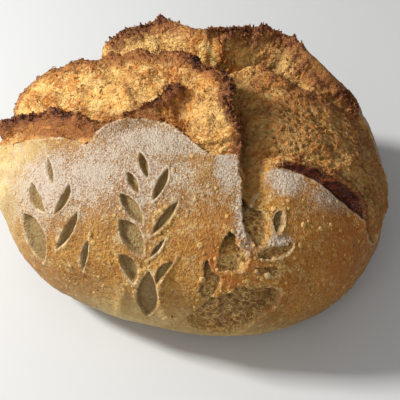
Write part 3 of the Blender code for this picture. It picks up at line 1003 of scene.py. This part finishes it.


# Torn and cut places lie over the skin, with a rim of paler paint round them and a painted shadow beneath the
# tears' upper edges
def openedColour(desk, g, skin, crumb):
    c, times = crustPaint, desk.times
    colour = desk.mix(desk.attribute("torn"), skin, crumb)
    inner = desk.mix(0.3, crumb, c["crumbOlive"])
    inner = desk.mix(desk.between(g["fine"], 0.55, 0.36), inner, c["brownGrainAndShade"])
    inner = desk.mix(times(g["fibre"], 0.8), inner, c["crumbPale"])
    # painted shade in the tear's pits
    colour = desk.mix(desk.attribute("tear"), colour, desk.mix(desk.attribute("pit"), inner, c["pitShade"]))
    # painted shadow: a bran-dark band beneath each tear's upper edge, broken by noise
    colour = desk.mix(times(desk.attribute("tearShade"), desk.between(g["fine"], 0.3, 0.48)), colour, c["branAndTearShade"])
    cutGrain = desk.lines(desk.noise(2.4, 2.0, 0.5, (0.6, 1.0, 2.6)), 0.07)
    floor = desk.mix(times(desk.between(g["fine"], 0.4, 0.62), 0.7), c["cutFloor"], c["brownGrainAndShade"])
    floor = desk.mix(times(cutGrain, 0.5), floor, c["crumbOlive"])
    colour = desk.mix(desk.attribute("cut"), colour, floor)
    return desk.mix(times(desk.attribute("rim"), desk.between(g["middle"], 0.3, 0.62)), colour, c["rimPale"])


def burntColour(desk, g, colour, burn, glaze):
    c, times = crustPaint, desk.times
    unevenness = desk.maths("SUBTRACT", desk.maths("ADD", g["fine"], g["middle"]), 1.0)
    uneven = desk.maths("ADD", burn, times(burn, times(unevenness, 2.2)))
    colour = desk.mix(times(desk.between(uneven, 0.12, 0.4), 0.8), colour, c["burnBrown"])
    colour = desk.mix(times(desk.between(uneven, 0.42, 0.8), 0.9), colour, c["burnRed"])
    colour = desk.mix(desk.between(uneven, 0.88, 1.16), colour, c["burnDark"])
    bandGrain = desk.between(desk.noise(2.2, 3.0, 0.6, (2.5, 1.0, 1.0)), 0.46, 0.74)
    return desk.mix(glaze, colour, desk.mix(bandGrain, c["mahogany"], c["mahoganyLight"]))


# Where a grain of flour lies
def flourShare(desk, g):
    dust = desk.attribute("flour")
    scatter = desk.maths("ADD", desk.times(desk.noise(1.0, 3.0, 0.75), 3.0), g["middle"])
    sprinkle = desk.maths("ADD", dust, desk.maths("SUBTRACT", scatter, 2.0))
    return desk.times(desk.between(sprinkle, 0.5, 0.9), desk.between(dust, 0.02, 0.2))


def crustBump(desk, g, torn, toasted):
    times = desk.times
    calm = desk.blend(torn, 1.0, desk.blend(toasted, 0.6, 1.1))
    grains = times(desk.maths("ADD", times(g["fine"], 0.8), times(g["grain"], 0.5)), calm)
    strands = times(times(g["fibre"], 0.4), times(torn, calm))
    bump = desk.tree.nodes.new("ShaderNodeBump")
    bump.inputs["Strength"].default_value = 1.0
    bump.inputs["Distance"].default_value = crustPaint["bumpDistance"]
    desk.put(bump.inputs["Height"], desk.maths("ADD", grains, strands))
    return bump.outputs["Normal"]


def crustMaterial():
    desk = NodeDesk("bakedCrust")
    g = grainsOf(desk)
    torn, toasted, burn, glaze = (desk.attribute(name) for name in ("torn", "toasted", "burn", "glaze"))
    colour = openedColour(desk, g, skinColour(desk, g), crumbColour(desk, g, toasted))
    colour = burntColour(desk, g, colour, burn, glaze)
    floured = flourShare(desk, g)
    colour = desk.mix(desk.times(floured, 0.85), colour, crustPaint["flourWhite"])
    shine = crustPaint["roughness"]
    rough = desk.blend(torn, shine["skin"], shine["crumb"])
    rough = desk.blend(desk.between(burn, 0.4, 0.9), rough, shine["burnt"])
    rough = desk.blend(glaze, rough, shine["glaze"])
    desk.put(desk.shader.inputs["Base Color"], colour)
    desk.put(desk.shader.inputs["Roughness"], desk.blend(floured, rough, shine["flour"]))
    desk.put(desk.shader.inputs["Normal"], crustBump(desk, g, torn, toasted))
    desk.shader.inputs["Specular IOR Level"].default_value = crustPaint["gloss"]
    return desk.material


studio = {
    "floorSize": 4.0,
    "floorPaint": paint(206, 206, 204),
    "floorBounce": paint(150, 150, 150),
    "worldLight": 0.285,
    "lamps": [
        {"name": "key", "spot": (-0.98, 0.12, 0.78), "size": 0.22, "watts": 21.5},
        {"name": "fill", "spot": (-0.45, -1.15, 0.65), "size": 1.0, "watts": 6.0},
    ],
    "aim": (3.0 * mm, 0.0, 45.0 * mm),
}


def makeStudio():
    floorMesh = bmesh.new()
    bmesh.ops.create_grid(floorMesh, x_segments=1, y_segments=1, size=studio["floorSize"] / 2)
    mesh = bpy.data.meshes.new("floor")
    floorMesh.to_mesh(mesh)
    floorMesh.free()
    floor = bpy.data.objects.new("floor", mesh)
    bpy.context.scene.collection.objects.link(floor)
    desk = NodeDesk("floorPaint")
    seen = desk.tree.nodes.new("ShaderNodeLightPath")
    direct = desk.maths("MAXIMUM", seen.outputs["Is Camera Ray"], seen.outputs["Is Glossy Ray"])
    direct = desk.maths("MAXIMUM", direct, seen.outputs["Is Transmission Ray"])
    floorColour = desk.mix(direct, studio["floorBounce"], studio["floorPaint"])
    desk.put(desk.shader.inputs["Base Color"], floorColour)
    desk.shader.inputs["Roughness"].default_value = 0.9
    mesh.materials.append(desk.material)
    world = bpy.data.worlds.new("studio")
    world.use_nodes = True
    world.node_tree.nodes["Background"].inputs["Strength"].default_value = studio["worldLight"]
    world.node_tree.nodes["Background"].inputs["Color"].default_value = (1.0, 1.0, 1.0, 1.0)
    bpy.context.scene.world = world
    for entry in studio["lamps"]:
        light = bpy.data.lights.new(entry["name"], "AREA")
        light.energy = entry["watts"]
        light.size = entry["size"]
        lamp = bpy.data.objects.new(entry["name"], light)
        lamp.location = entry["spot"]
        beam = Vector(studio["aim"]) - Vector(entry["spot"])
        lamp.rotation_euler = beam.to_track_quat("-Z", "Y").to_euler()
        bpy.context.scene.collection.objects.link(lamp)


view = {
    "elevation": math.radians(44),
    "distance": 560.0,
    "lens": 87.3,
    "aim": (5.8, -18.9, 48.0),
}


def makeCamera():
    camera = bpy.data.cameras.new("camera")
    camera.lens = view["lens"]
    camera.sensor_width = 36.0
    camera.clip_start = 0.01
    holder = bpy.data.objects.new("camera", camera)
    back = Vector((0.0, -math.cos(view["elevation"]), math.sin(view["elevation"])))
    holder.location = (Vector(view["aim"]) + back * view["distance"]) * mm
    holder.rotation_euler = (-back).to_track_quat("-Z", "Y").to_euler()
    bpy.context.scene.collection.objects.link(holder)
    bpy.context.scene.camera = holder


makeCamera()
makeStudio()
bpy.context.scene.view_settings.view_transform = "Standard"
print("studio and camera ready")
loaf, points, normals, look = makeLoaf()
print("loaf shaped:", len(loaf.data.polygons), "triangles")
chance = np.random.default_rng(11)
pieces = [loaf] + [make(chance, points, normals, look) for make in (makeFlakes, makeCurls, makeBlisters)]
print("flakes, curls and blisters:", [len(piece.data.polygons) for piece in pieces[1:]], "triangles")
crust = crustMaterial()
for piece in pieces:
    piece.data.materials.append(crust)
    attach(piece, "root")
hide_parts("loaf")
print("crust painted")
